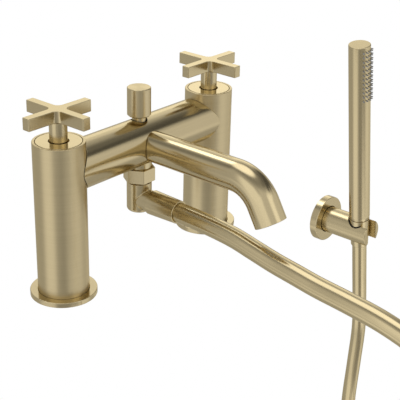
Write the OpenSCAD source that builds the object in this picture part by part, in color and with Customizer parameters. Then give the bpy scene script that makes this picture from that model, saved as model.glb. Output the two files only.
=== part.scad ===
// Bath shower mixer: two pillar taps joined by a bridge with a fixed spout and a lift diverter,
// an elbow below that feeds a hose, and a handset that stands in a forked wall holder.
// Millimetres. The origin is midway between the taps, on the deck. +Z is up, the spout points to -Y.

/* [Fits] */
// Gap round a piece that is pressed or screwed into another
snug = 0.05; // [0.03:0.01:0.08]
// Gap round a shaft that turns or slides in its bore
run_fit = 0.06; // [0.04:0.01:0.1]
// Gap between pieces that move past each other
clear = 0.3; // [0.25:0.05:0.4]
// Width of the joint line between two pieces of trim
seam = 0.1; // [0.05:0.05:0.2]

/* [Pillars] */
// Distance between the centres of the two taps
tap_centres = 180; // [150:1:220]
// Outer diameter of a pillar
pillar_dia = 42; // [41:0.5:48]
// Wall of a pillar
pillar_wall = 3.5; // [3:0.1:4]
// Height of a pillar's rim above the deck
pillar_h = 133; // [128:1:160]
// Width of the rim left round the top plate
rim_wall = 2.3; // [1.8:0.1:2.8]
// Thickness of the top plate
plate_t = 2.5; // [2:0.1:3.5]
// Diameter of the foot flange
flange_dia = 55; // [51:0.5:65]
// Thickness of the foot flange
flange_t = 4.3; // [3.5:0.1:6]
// Thickness of the flange under the pillar
flange_floor = 1.5; // [1:0.1:2.5]
// Radius of the flange's top edge
flange_edge = 0.6; // [0.2:0.1:1]
// Distance from the pillar to the groove of the foot seal
foot_seal_inset = 1; // [0.5:0.1:1.5]
// Width of the foot seal
foot_seal_w = 2; // [1:0.1:2.5]
// Height of the foot seal
foot_seal_h = 1.6; // [1:0.1:2.5]
// Inner diameter of the inlet's pipe thread
inlet_dia = 24.12; // [22:0.02:27]
// Height of the inlet bush
inlet_h = 28; // [20:1:40]

/* [Cartridges] */
// Diameter of the water way from a pillar to the bridge
port_dia = 15; // [11:0.5:16]
// Diameter of the cartridge's thread
neck_dia = 20.8; // [20:0.2:23]
// Diameter of the cartridge's barrel
barrel_dia = 19; // [18:0.1:19.6]
// Length of the cartridge's barrel
barrel_len = 35.5; // [30:0.5:40]
// Width of the water way round the barrel
barrel_gap = 3; // [2:0.1:3.5]
// Diameter of the cartridge's flange
cap_dia = 26; // [24:0.5:30]
// Thickness of the cartridge's flange
cap_t = 3.5; // [2.5:0.1:5]
// Gap between the cartridge and the top plate
cap_gap = 0.5; // [0.3:0.1:1]
// Diameter of the hole in the valve seat
seat_dia = 13; // [11:0.5:14]
// Thickness of the valve seat
seat_t = 6; // [4:0.5:8]
// Thickness of the seal under the cartridge
seal_t = 1.5; // [1:0.1:2]
// Diameter of the ceramic discs
disc_dia = 15.8; // [15:0.1:16.2]
// Thickness of each ceramic disc
disc_t = 3.2; // [2.8:0.1:4]
// Film of water between the two discs
disc_gap = 0.05; // [0.04:0.01:0.1]
// Diameter of the two holes in each disc
disc_hole_dia = 5; // [3.5:0.1:5.2]
// Distance from the middle of a disc to its holes
disc_hole_at = 4.3; // [4.2:0.1:4.8]
// Thickness of the spindle's foot
foot_t = 3.8; // [3.4:0.1:6]
// Width of the spindle's foot
foot_w = 5; // [4:0.1:8]
// Width of the key that turns the moving disc
key_w = 3; // [2:0.1:3.2]
// Height of that key
key_h = 1.5; // [1:0.1:2]
// Diameter of the four outlet holes in the barrel
window_dia = 3; // [2:0.1:3.2]
// Diameter of the spindle
spindle_dia = 9; // [8.5:0.1:10]
// Diameter of the spindle inside the collar
spline_dia = 8; // [6:0.1:8.3]

/* [Handles] */
// Height of the cross above the pillar's rim
handle_rise = 16.5; // [14:0.5:24]
// Diameter of the collar under the cross
collar_dia = 14.3; // [13.4:0.1:16]
// Gap between the collar and the hole in the top plate
collar_gap = 1.1; // [0.4:0.1:2]
// Depth to which the collar goes into that hole
collar_sink = 1.5; // [0.5:0.1:1.9]
// Distance from the end of the spindle to the cross
spindle_short = 4; // [3.4:0.1:6]
// Diameter of the cross's spigot
spigot_dia = 11; // [9:0.1:12]
// Height of the cross's spigot
spigot_h = 3; // [2:0.1:3.2]
// Span of the cross from tip to tip
cross_span = 64.2; // [50:0.2:80]
// Width of an arm of the cross
cross_w = 7.4; // [6:0.1:10]
// Height of the cross
cross_h = 9.9; // [7:0.1:14]
// Radius of the inner corners of the cross
cross_fillet = 4.5; // [1:0.1:8]
// Diameter of the collar's grub screw
grub_dia = 4; // [3:0.5:5]

/* [Bridge and spout] */
// Diameter of the bridge
bridge_dia = 40; // [37:0.5:40.5]
// Wall of the bridge
bridge_wall = 3.5; // [2.5:0.1:4]
// Distance from the pillar's rim down to the bridge's axis
bridge_drop = 26; // [25:0.5:32]
// Diameter of the spout
spout_dia = 26.2; // [25:0.2:30]
// Wall of the spout
spout_wall = 2.3; // [1.8:0.1:2.6]
// Reach of the spout from the bridge's axis to the middle of its mouth
spout_reach = 140.4; // [110:0.2:200]
// Radius of the spout's bend
spout_bend_r = 31.8; // [20:0.2:45]
// Angle through which the spout bends down
spout_bend = 60; // [40:1:85]
// Length of the spout after its bend
spout_tail = 17; // [13:0.5:30]
// Length of the aerator housing
aerator_len = 9; // [7:0.5:10]
// Wall of the aerator housing
aerator_wall = 1.5; // [1:0.1:2.5]
// Depth of the aerator inside the spout's mouth
aerator_inset = 0.5; // [0.3:0.1:1.5]
// Thickness of the aerator insert
insert_t = 2; // [1.5:0.1:3]
// Diameter of a hole in the aerator insert
jet_dia = 1.4; // [1:0.1:1.8]
// Distance between the circles of holes in the aerator insert
jet_pitch = 2.7; // [2.2:0.1:2.8]
// Outer diameter of the feed tube from the diverter to the spout
feed_dia = 8.4; // [6:0.1:8.6]
// Wall of the feed tube
feed_wall = 0.8; // [0.5:0.1:1.2]

/* [Diverter] */
// Travel of the diverter knob
diverter_travel = 6; // [4:0.1:7]
// Diameter of the diverter knob
knob_dia = 20; // [16:0.5:24]
// Height of the diverter knob
knob_h = 24.5; // [18:0.5:34]
// Height of the knob above the bridge
knob_gap = 3.5; // [2:0.1:5]
// Chamfer of the knob's edges
knob_chamfer = 1; // [0.3:0.1:1.5]
// Diameter of the neck under the knob
neck_stem_dia = 11.8; // [8:0.1:13]
// Length of that neck
neck_stem_h = 6; // [5.4:0.1:6.4]
// Gap between the neck and the hole in the bridge
neck_gap = 1.2; // [0.4:0.1:1.4]
// Diameter of the diverter stem
stem_dia = 5; // [4:0.1:6]
// Depth of the stem in the knob
stem_grip = 10; // [6:0.5:14]
// Outer diameter of the diverter sleeve
sleeve_dia = 20.8; // [19.6:0.1:21]
// Wall of the diverter sleeve
sleeve_wall = 2.2; // [1.5:0.1:2.4]
// Wall of the bridge left above the sleeve
sleeve_cover = 3; // [2.4:0.1:4]
// Thickness of the lower valve seat
low_seat_t = 2.5; // [2:0.1:3]
// Thickness of the upper valve seat
top_seat_t = 2; // [1.5:0.1:2.5]
// Diameter of the holes in both seats
diverter_seat_dia = 10.4; // [10.2:0.1:11]
// Diameter of the plate between the two washers
diverter_plate_dia = 14; // [12.8:0.1:15]
// Thickness of that plate
diverter_plate_t = 1; // [0.8:0.1:1.5]
// Thickness of each diverter washer
diverter_washer_t = 1.2; // [1:0.1:1.6]
// Diameter of the stud through the lower washer
stud_dia = 3; // [2:0.1:4]
// Thickness of the bush that guides the stem
bush_t = 4; // [3.4:0.1:4.6]
// Thickness of the O-ring round the stem
o_ring_t = 1.6; // [1.2:0.1:2]
// Height of the spring at rest
spring_h = 9.2; // [8.8:0.1:10]
// Thickness of the ring that carries the spring
spring_ring_t = 1; // [0.6:0.1:1.2]
// Outer diameter of that ring
spring_ring_dia = 10; // [9.4:0.1:10]
// Diameter of the spring, between the middles of its wire
spring_dia = 8.4; // [7.6:0.1:8.8]
// Thickness of the spring's wire
spring_wire = 0.6; // [0.4:0.1:0.7]
// Number of turns in the spring
spring_turns = 4; // [3:1:5]

/* [Hose outlet] */
// Gap between the bridge and the union nut
nut_gap = 2; // [1:0.1:4]
// Width of the union nut across its flats
nut_af = 24.25; // [24:0.25:30]
// Height of the union nut
nut_h = 12.7; // [11:0.1:16]
// Chamfer of the union nut's corners
nut_chamfer = 1; // [0.4:0.1:1.4]
// Thickness of the union nut's lip
nut_lip = 2.5; // [2:0.1:3.5]
// Diameter of the union thread
union_dia = 20.8; // [20:0.1:21.4]
// Outer diameter of the outlet nipple
nipple_dia = 21.6; // [21.5:0.1:23]
// Bore of the outlet nipple
nipple_bore = 15; // [12:0.5:16]
// Thickness of the union washer
union_washer_t = 1.5; // [1:0.1:2]
// Thickness of the elbow's flange in the nut
elbow_flange_t = 1.1; // [0.8:0.1:2]
// Diameter of the elbow's neck
elbow_neck_dia = 16; // [15:0.1:17]
// Diameter of the elbow
elbow_dia = 21.6; // [20.4:0.1:24]
// Height of the elbow above its outlet axis
elbow_rise = 16.6; // [13:0.1:24]
// Height of the elbow below its outlet axis
elbow_base = 11; // [10:0.1:14]
// Radius of the elbow's bottom edge
elbow_round = 3; // [1:0.1:4]
// Bore of the elbow
elbow_bore = 12; // [9:0.5:13]
// Diameter of the elbow's side arm
side_arm_dia = 19; // [18.4:0.1:20]
// Reach of the side arm from the elbow's axis
side_arm_reach = 15.6; // [14:0.1:20]
// Diameter of the hose thread
hose_thread_dia = 17.8; // [17.6:0.1:18]
// Length of the hose thread
hose_thread_len = 10.4; // [8:0.1:12]
// Diameter of the hose connector at the elbow
connector_dia = 21.4; // [20.6:0.1:24]
// Diameter of the hose connector at the hose
connector_end_dia = 19.8; // [19:0.1:22]
// Length of the hose connector
connector_len = 30.3; // [26:0.1:40]
// Thickness of the hose washers
hose_washer_t = 1.5; // [1:0.1:2]
// Thickness of the flange at the hose's lower end
low_tail_t = 3.5; // [2.5:0.1:4.5]

/* [Hose] */
// Outer diameter of the hose
hose_dia = 17; // [15:0.1:17.2]
// Bore of the tails at the hose's ends
tail_bore = 9; // [7:0.5:10]
// Gap between the hose and the fittings that it goes into
hose_gap = 0.1; // [0.05:0.05:0.2]
// Sides of the hose's cross-section
hose_sides = 12; // [8:1:12]

/* [Wall holder] */
// Distance from the middle of the mixer to the holder, along the wall
holder_x = 370; // [300:1:450]
// Height of the holder's arm above the deck
holder_z = -107.5; // [-130:0.5:-90]
// Distance from the mixer's axis back to the wall
wall_y = 47; // [35:1:70]
// Distance from the wall to the handset's axis
seat_reach = 52; // [46:0.5:70]
// Diameter of the holder's arm
arm_dia = 31; // [29:0.5:36]
// Reach of the arm beyond the handset's axis
arm_front = 16.4; // [14:0.1:22]
// Width of the slot that lets the hose in
slot_w = 19.3; // [18:0.1:20]
// Turn of the arm about its own axis, which leans the handset
lean = 9; // [0:0.5:15]
// Thickness of the liner in the seat
liner_t = 0.8; // [0.5:0.1:1.2]
// Diameter of the cover plate
cover_dia = 54; // [50:0.5:70]
// Thickness of the cover plate
cover_t = 9; // [7.5:0.1:12]
// Radius of the cover plate's edge
cover_edge = 0.8; // [0.3:0.1:1.2]
// Wall of the cover plate
cover_wall = 2.5; // [2:0.1:2.5]
// Rim of the cover plate round the wall mount
cover_rim = 5; // [2:0.1:5]
// Thickness of the wall mount
mount_t = 4.5; // [3:0.1:4.7]
// Diameter of the wall mount's boss
boss_dia = 18; // [14:0.5:22]
// Length of the boss from the wall
boss_len = 22; // [19:0.5:24]
// Distance between the two wall screws
screw_spacing = 30; // [28:0.5:32]
// Diameter of the wall screws' holes
screw_hole_dia = 4.6; // [4:0.1:5.2]
// Diameter of the wall screws' countersinks
countersink_dia = 8.6; // [8:0.1:9]
// Diameter of the holder's grub screw
holder_grub_dia = 5; // [4:0.5:6]
// Distance from the wall to the holder's grub screw
holder_grub_at = 14; // [13.5:0.5:15.5]

/* [Handset] */
// Outer diameter of the handset
handset_dia = 24; // [23.6:0.1:27]
// Wall of the handset
handset_wall = 1.5; // [1.2:0.1:1.6]
// Thickness of the handset's closed top
handset_top_t = 3; // [2:0.1:5]
// Length of the handset
handset_len = 217; // [160:1:260]
// Radius of the handset's top edge
handset_edge = 1; // [0.3:0.1:2]
// Height over which the handset's foot narrows
foot_taper_h = 3.5; // [2:0.1:6]
// Width by which the handset's foot narrows
foot_taper_w = 0.5; // [0.2:0.1:0.8]
// Rows of nozzles
nozzle_rows = 12; // [6:1:16]
// Nozzles in a row
nozzle_columns = 5; // [3:2:5]
// Distance between two rows of nozzles
row_pitch = 5.1; // [4.6:0.1:6]
// Angle between two columns of nozzles
column_step = 18.5; // [15:0.5:20]
// Distance from the handset's top to the first row
first_row = 6; // [5:0.1:10]
// Diameter of a nozzle at the handset's surface
nozzle_dia = 2; // [1.4:0.1:2.2]
// Diameter of a nozzle's tip
nozzle_tip_dia = 1.3; // [0.8:0.1:1.4]
// Length of a nozzle outside the handset
nozzle_h = 2.4; // [1:0.1:3]
// Bore of a nozzle
nozzle_bore = 0.7; // [0.5:0.1:0.8]
// Thickness of the nozzle strip
strip_t = 1.8; // [1.4:0.1:2.2]
// Depth of the water space behind the strip
plenum = 1.1; // [0.8:0.1:1.5]
// Outer diameter of the waterway tube
waterway_dia = 11; // [9:0.5:12]
// Wall of the waterway tube
waterway_wall = 1; // [0.8:0.1:1.5]
// Height of the cone nut above the arm's axis
cone_rise = 17.5; // [17:0.1:21]
// Height of the cone nut below the arm's axis
cone_drop = 19.2; // [17:0.1:22]
// Diameter of the cone nut at its top
cone_top_dia = 23.5; // [23.3:0.1:23.6]
// Diameter of the cone nut at its bottom
cone_end_dia = 20; // [19.4:0.1:21]
// Diameter of the handset's thread
inlet_thread_dia = 20.4; // [20:0.1:20.8]
// Length of the handset's thread
inlet_thread_len = 12.5; // [11:0.1:14]
// Length of the inlet's plug inside the handset
inlet_plug = 12.5; // [8:0.5:20]
// Bore of the handset's inlet
inlet_bore = 9; // [8:0.5:10]
// Thickness of the washer in the cone nut
cone_washer_t = 2; // [1.5:0.1:2.5]
// Diameter of the upper tail's flange
tail_flange_dia = 15; // [14:0.1:16]
// Thickness of the upper tail's flange
tail_flange_t = 3; // [2.5:0.1:3.5]
// Diameter of the upper tail
tail_dia = 12; // [11:0.1:13]
// Length of the upper tail with its flange
tail_len = 10.7; // [9:0.1:12]
// Thickness of the lip that the upper tail hangs on
cone_lip = 3.4; // [2:0.1:4.4]

/* [Hidden] */
$fn = 96;
// Sides of the small holes
small_sides = 24;
// Overshoot of a cut through a face
cut = 1;
// Play of a washer in its nut
washer_play = 0.2;
left = -1;
right = 1;

brass = [0.79, 0.72, 0.53];
raw_brass = [0.72, 0.62, 0.36];
black_rubber = [0.10, 0.10, 0.10];
grey_rubber = [0.62, 0.61, 0.58];
nylon = [0.13, 0.13, 0.13];
white_plastic = [0.86, 0.86, 0.84];
ceramic = [0.92, 0.90, 0.86];
steel = [0.70, 0.71, 0.72];

// Pillars, from the rim down to the inlet
pillar_r = pillar_dia / 2;
pillar_bore_r = pillar_r - pillar_wall;
plate_z = pillar_h - plate_t;
bridge_z = pillar_h - bridge_drop;
foot_seal_r = pillar_r + foot_seal_inset;

// Cartridges, from the top plate down to the valve seat
port_r = port_dia / 2;
port_lip = 0.5;
cap_z = plate_z - cap_gap - cap_t;
neck_z = bridge_z + port_r + port_lip;
barrel_z = neck_z - barrel_len;
seat_z = barrel_z - seal_t;
block_z = seat_z - seat_t;
chamber_r = barrel_dia / 2 + barrel_gap;
disc_r = disc_dia / 2;
turning_r = disc_r + 2 * snug - clear;
moving_disc_z = barrel_z + disc_t + disc_gap;
foot_z = moving_disc_z + disc_t;
foot_top_z = foot_z + foot_t;

// Handles
cross_z = pillar_h + handle_rise;
collar_z = pillar_h - collar_sink;
collar_r = collar_dia / 2;
collar_top_z = cross_z - seam;
spindle_top_z = cross_z - spindle_short;
grub_z = (pillar_h + spindle_top_z) / 2;
hex_key_share = 0.5;

// Bridge and spout
bridge_r = bridge_dia / 2;
bridge_top_z = bridge_z + bridge_r;
spout_r = spout_dia / 2;
spout_bore_r = spout_r - spout_wall;
spout_straight = spout_reach - spout_bend_r * sin(spout_bend) - spout_tail * cos(spout_bend);
mouth_z = bridge_z - spout_bend_r * (1 - cos(spout_bend)) - spout_tail * sin(spout_bend);

// Diverter, from the knob down to the lower seat
sleeve_r = sleeve_dia / 2;
sleeve_bore_r = sleeve_r - sleeve_wall;
knob_z = bridge_top_z + knob_gap;
neck_stem_z = knob_z - neck_stem_h;
sleeve_top_z = bridge_z + sqrt(pow(bridge_r, 2) - pow(sleeve_r + snug, 2)) - sleeve_cover;
bush_z = sleeve_top_z - bush_t;
spring_ring_z = bush_z - spring_h - spring_ring_t;
top_seat_z = spring_ring_z - clear - top_seat_t;
washer_stack = 2 * diverter_washer_t + diverter_plate_t;
low_washer_z = top_seat_z - clear - diverter_travel - washer_stack;
diverter_plate_z = low_washer_z + diverter_washer_t;
top_washer_z = diverter_plate_z + diverter_plate_t;
low_seat_z = low_washer_z - clear - low_seat_t;
stem_top_z = knob_z + stem_grip;
feed_r = feed_dia / 2;
feed_z = top_seat_z + top_seat_t + feed_r + 2 * snug;

// Hose outlet, from the bridge down
nut_top_z = bridge_z - bridge_r - nut_gap;
nut_z = nut_top_z - nut_h;
union_r = union_dia / 2;
union_face_r = union_r - washer_play;
elbow_top_z = nut_z - 2 * seam;
elbow_flange_z = nut_z + nut_lip + seam;
union_washer_z = elbow_flange_z + elbow_flange_t;
nipple_z = union_washer_z + union_washer_t;
outlet_z = elbow_top_z - elbow_rise;
hose_thread_end = side_arm_reach + hose_thread_len;
low_tail_at = hose_thread_end + hose_washer_t;
hose_start = low_tail_at + low_tail_t;
hose_thread_r = hose_thread_dia / 2;
connector_end = side_arm_reach + seam + connector_len;

// Holder and handset, heights along the handset's axis from the arm's axis
seat_y = wall_y - seat_reach;
arm_r = arm_dia / 2;
arm_back = mount_t + clear;
boss_r = boss_dia / 2;
inlet_end = cone_rise - inlet_thread_len;
cone_washer_at = inlet_end - cone_washer_t;
tail_flange_at = cone_washer_at - clear - tail_flange_t;
cone_lip_top = tail_flange_at - clear;
cone_lip_end = cone_lip_top - cone_lip;
tail_end = cone_washer_at - clear - tail_len;
nut_bore_gap = 0.5;
nut_bore_r = hose_dia / 2 + nut_bore_gap;
handset_r = handset_dia / 2;
handset_bore_r = handset_r - handset_wall;
handset_top = cone_rise + handset_len;
handset_ceiling = handset_top - handset_top_t;
last_row = handset_top - first_row - (nozzle_rows - 1) * row_pitch;
strip_margin = 2.5;
strip_end = last_row - strip_margin;
strip_side_angle = 11;
strip_half_angle = (nozzle_columns - 1) / 2 * column_step + strip_side_angle;
strip_side_gap = 1;
insert_foot = 4;
insert_end = strip_end - insert_foot;
strip_r = handset_bore_r - 2 * snug;

// Point on the handset's axis at a height along it
function seat_point(height) =
    [holder_x - height * sin(lean), seat_y, holder_z + height * cos(lean)];

// Route of the hose: out of the connector, down, round a loop below the deck, up to the handset
hose_route = concat(
    [[0, -hose_start, outlet_z], [0, -connector_end, outlet_z]],
    [
        [0, -66, 55], [0, -86, 54], [0, -106, 52], [0, -126, 48], [0, -146, 44],
        [0, -166, 41], [0, -186, 38], [0, -216, 35], [0, -246, 31], [0, -276, 23],
        [0, -304, 10], [1, -328, -9], [2, -347, -34], [4, -360, -65], [5, -367, -99],
        [6, -370, -136], [7, -371, -174], [8, -371, -212], [8, -371, -250],
        [12, -370, -298], [24, -365, -344], [44, -353, -386], [71, -331, -422],
        [103, -299, -451], [140, -259, -471], [179, -212, -481], [218, -164, -481],
        [257, -117, -471], [294, -77, -451], [326, -45, -422], [353, -23, -386],
        [373, -11, -344], [386, -6, -298], [391, -5, -250]
    ],
    [seat_point(-100), seat_point(-60), seat_point(-cone_drop), seat_point(tail_end)]
);

// Round tube that stands on the floor of its own frame
module ring(outer_r, inner_r, height) {
    difference() {
        cylinder(r = outer_r, h = height);
        translate([0, 0, -cut]) cylinder(r = inner_r, h = height + 2 * cut);
    }
}

// Turned rod whose top and bottom edges are rounded
module turned(r, height, top = 0, bottom = 0) {
    rotate_extrude() {
        translate([0, bottom]) square([r, height - top - bottom]);
        square([r - bottom, height - top]);
        translate([0, bottom]) square([r - top, height - bottom]);
        if (top > 0) translate([r - top, height - top]) circle(r = top);
        if (bottom > 0) translate([r - bottom, bottom]) circle(r = bottom);
    }
}

// Sockets for hexagonal keys, sunk from the top of the piece
module hex_socket(r, depth) {
    translate([0, 0, -depth]) cylinder(r = r, h = depth + cut, $fn = 6);
}

module at_tap(side) translate([side * tap_centres / 2, 0, 0]) children();
module raised(z) translate([0, 0, z]) children();
module along_x() rotate([0, 90, 0]) children();
module to_front() rotate([90, 0, 0]) children();
module to_back() rotate([-90, 0, 0]) children();

// Frame at the spout's mouth, its Z pointing back up the spout
module at_mouth() {
    translate([0, -spout_reach, mouth_z]) rotate([spout_bend - 90, 0, 0]) children();
}

// Frame where the arm's axis and the handset's axis cross
module at_seat() translate([holder_x, seat_y, holder_z]) children();
module leaned() at_seat() rotate([0, -lean, 0]) children();

// Cone of the nut, made wider by a given gap, long enough to cut with
function cone_r(height) = cone_end_dia / 2
    + (height + cone_drop) * (cone_top_dia - cone_end_dia) / 2 / (cone_rise + cone_drop);
module seat_cone(gap) {
    raised(-arm_dia) cylinder(
        r1 = cone_r(-arm_dia) + gap, r2 = cone_r(arm_dia) + gap, h = 2 * arm_dia);
}

// Slot at the front of the fork
module fork_slot() {
    translate([-slot_w / 2, -arm_front - cut, -arm_dia]) cube([slot_w, arm_front + cut, 2 * arm_dia]);
}

// Tube swept along a route, with one ring at each of its points
function unit(v) = v / norm(v);
function heading(path, i) = unit(path[min(i + 1, len(path) - 1)] - path[max(i - 1, 0)]);
function ring_points(path, i, r, sides, hint) =
    let (
        ahead = heading(path, i),
        across = unit(cross(ahead, hint)),
        upward = cross(across, ahead)
    )
    [for (k = [0:sides - 1])
        path[i] + r * (cos(360 * k / sides) * across + sin(360 * k / sides) * upward)];
function ring_faces(i, k, sides) =
    let (
        a = i * sides + k,
        b = i * sides + (k + 1) % sides
    )
    [[a, b, b + sides], [a, b + sides, a + sides]];
module sweep(path, r, sides, hint) {
    last = len(path) - 1;
    polyhedron(
        points = [for (i = [0:last]) each ring_points(path, i, r, sides, hint)],
        faces = concat(
            [[for (k = [sides - 1:-1:0]) k]],
            [for (i = [0:last - 1], k = [0:sides - 1]) each ring_faces(i, k, sides)],
            [[for (k = [0:sides - 1]) last * sides + k]]
        ),
        convexity = 10
    );
}

module pillar(side) {
    color(brass) at_tap(side) difference() {
        raised(flange_floor) cylinder(r = pillar_r, h = pillar_h - flange_floor);
        cylinder(r = pillar_bore_r, h = pillar_h + cut);
        raised(plate_z) cylinder(r = pillar_r - rim_wall, h = plate_t + cut);
        raised(bridge_z) rotate([0, -side * 90, 0]) cylinder(r = port_r, h = pillar_r + cut);
    }
}

module base_flange(side) {
    color(brass) at_tap(side) difference() {
        turned(flange_dia / 2, flange_t, flange_edge);
        raised(-cut) cylinder(r = pillar_bore_r, h = flange_t + 2 * cut);
        raised(flange_floor) cylinder(r = pillar_r + snug, h = flange_t);
        raised(-cut) ring(foot_seal_r + foot_seal_w, foot_seal_r, foot_seal_h + cut);
    }
}

module base_seal(side) {
    color(black_rubber) at_tap(side)
        ring(foot_seal_r + foot_seal_w - snug, foot_seal_r + snug, foot_seal_h);
}

module inlet_bush(side) {
    color(raw_brass) at_tap(side) ring(pillar_bore_r - snug, inlet_dia / 2, inlet_h);
}

module valve_block(side) {
    color(raw_brass) at_tap(side) difference() {
        raised(block_z) cylinder(r = pillar_bore_r - snug, h = cap_z - block_z);
        raised(block_z - cut) cylinder(r = seat_dia / 2, h = seat_t + 2 * cut);
        raised(seat_z) cylinder(r = chamber_r, h = neck_z - seat_z);
        raised(neck_z - cut) cylinder(r = neck_dia / 2 + snug, h = cap_z - neck_z + 2 * cut);
        raised(bridge_z) rotate([0, -side * 90, 0]) cylinder(r = port_r, h = pillar_r);
    }
}

module cartridge_seal(side) {
    color(black_rubber) at_tap(side) raised(seat_z)
        ring(barrel_dia / 2 - snug, seat_dia / 2, seal_t);
}

module cartridge_body(side) {
    color(raw_brass) at_tap(side) difference() {
        union() {
            raised(barrel_z) cylinder(d = barrel_dia, h = barrel_len);
            raised(neck_z) cylinder(d = neck_dia, h = cap_z - neck_z);
            raised(cap_z) cylinder(d = cap_dia, h = cap_t);
        }
        raised(barrel_z - cut) cylinder(r = disc_r + 2 * snug, h = foot_top_z + clear - barrel_z + cut);
        raised(barrel_z) cylinder(r = spindle_dia / 2 + run_fit, h = pillar_h);
        for (turn = [45, 135])
            raised(foot_z + foot_t / 2) rotate(turn) along_x()
                cylinder(d = window_dia, h = 2 * barrel_dia, center = true);
    }
}

// Ceramic disc with its two holes on the line given by turn
module valve_disc(r, turn) {
    difference() {
        cylinder(r = r, h = disc_t);
        for (end = [-1, 1]) rotate(turn) translate([end * disc_hole_at, 0, -cut])
            cylinder(d = disc_hole_dia, h = disc_t + 2 * cut);
    }
}

module fixed_disc(side) {
    color(ceramic) at_tap(side) raised(barrel_z) valve_disc(disc_r, 90);
}

module moving_disc(side) {
    color(ceramic) at_tap(side) raised(moving_disc_z) difference() {
        valve_disc(turning_r, 0);
        translate([-key_w / 2 - snug, -disc_dia, disc_t - key_h - snug])
            cube([key_w + 2 * snug, 2 * disc_dia, key_h + snug + cut]);
    }
}

module spindle(side) {
    color(raw_brass) at_tap(side) {
        intersection() {
            raised(foot_z - key_h) cylinder(r = turning_r, h = foot_t + key_h);
            union() {
                translate([-foot_w / 2, -disc_dia, foot_z]) cube([foot_w, 2 * disc_dia, foot_t]);
                translate([-key_w / 2, -disc_dia, foot_z - key_h])
                    cube([key_w, 2 * disc_dia, key_h + foot_t]);
            }
        }
        raised(foot_z) cylinder(d = spindle_dia, h = collar_z - foot_z);
        raised(foot_z) cylinder(d = spline_dia, h = spindle_top_z - foot_z);
    }
}

module top_plate(side) {
    color(brass) at_tap(side) raised(plate_z)
        ring(pillar_r - rim_wall - snug, collar_r + collar_gap, plate_t);
}

module handle_collar(side) {
    color(brass) at_tap(side) difference() {
        raised(collar_z) cylinder(r = collar_r, h = collar_top_z - collar_z);
        raised(collar_z - cut) cylinder(d = spline_dia + 2 * snug, h = cross_z);
        raised(cross_z - spigot_h - seam) cylinder(d = spigot_dia + 2 * snug, h = cross_z);
        raised(grub_z) to_back() cylinder(d = grub_dia + 2 * snug, h = collar_dia);
    }
}

// Plan of the cross, its four inner corners filled by quarter hollows
module cross_plan() {
    square([cross_span, cross_w], center = true);
    square([cross_w, cross_span], center = true);
    corner = cross_w / 2 + cross_fillet;
    for (turn = [0:90:270]) rotate(turn) difference() {
        square(corner);
        translate([corner, corner]) circle(r = cross_fillet);
    }
}

module cross_handle(side) {
    color(brass) at_tap(side) {
        raised(cross_z) linear_extrude(cross_h) cross_plan();
        raised(cross_z - spigot_h) cylinder(d = spigot_dia, h = spigot_h + cross_h / 2);
    }
}

module grub_screw(side) {
    inner_end = spline_dia / 2 + snug;
    length = collar_r - inner_end - seam;
    color(steel) at_tap(side) raised(grub_z) to_back() raised(inner_end) difference() {
        cylinder(d = grub_dia, h = length);
        raised(length) hex_socket(grub_dia / 2 * hex_key_share, length * hex_key_share);
    }
}

module bridge() {
    bore_r = bridge_r - bridge_wall;
    color(brass) difference() {
        raised(bridge_z) along_x() cylinder(r = bridge_r, h = tap_centres, center = true);
        raised(bridge_z) along_x() cylinder(r = bore_r, h = tap_centres, center = true);
        for (side = [left, right]) at_tap(side) cylinder(r = pillar_r + snug, h = pillar_h);
        cylinder(r = neck_stem_dia / 2 + neck_gap, h = bridge_top_z + cut);
        raised(low_seat_z - cut) cylinder(r = sleeve_r + snug, h = sleeve_top_z - low_seat_z + cut);
        cylinder(r = nipple_dia / 2 + snug, h = low_seat_z);
        raised(feed_z) to_front() cylinder(r = feed_r + snug, h = bridge_r + cut);
    }
}

// Tube along the spout's middle line
module spout() {
    color(brass) difference() {
        union() {
            raised(bridge_z) to_front() ring(spout_r, spout_bore_r, spout_straight);
            translate([0, -spout_straight, bridge_z - spout_bend_r]) rotate([180, -90, 0]) {
                rotate_extrude(angle = spout_bend) translate([spout_bend_r, 0]) difference() {
                    circle(r = spout_r);
                    circle(r = spout_bore_r);
                }
                rotate(spout_bend) translate([spout_bend_r, 0, 0]) to_back() rotate(180)
                    ring(spout_r, spout_bore_r, spout_tail);
            }
        }
        raised(bridge_z) along_x() cylinder(r = bridge_r + snug, h = tap_centres, center = true);
    }
}

module spout_feed() {
    inner_end = sleeve_bore_r + snug;
    color(raw_brass) raised(feed_z) to_front() raised(inner_end)
        ring(feed_r, feed_r - feed_wall, bridge_r - inner_end);
}

module aerator_housing() {
    r = spout_bore_r - snug;
    color(raw_brass) at_mouth() raised(aerator_inset) difference() {
        cylinder(r = r, h = aerator_len);
        raised(insert_t) cylinder(r = r - aerator_wall, h = aerator_len);
        raised(-cut) cylinder(r = r - 2 * aerator_wall, h = insert_t + 2 * cut);
    }
}

module aerator_insert() {
    r = spout_bore_r - aerator_wall - 2 * snug;
    color(white_plastic) at_mouth() raised(aerator_inset + insert_t) difference() {
        cylinder(r = r, h = insert_t);
        for (circle_no = [0:2], turn = [0:60 / max(circle_no, 1):359])
            rotate(turn) translate([circle_no * jet_pitch, 0, -cut])
                cylinder(d = jet_dia, h = insert_t + 2 * cut, $fn = small_sides);
    }
}

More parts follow.
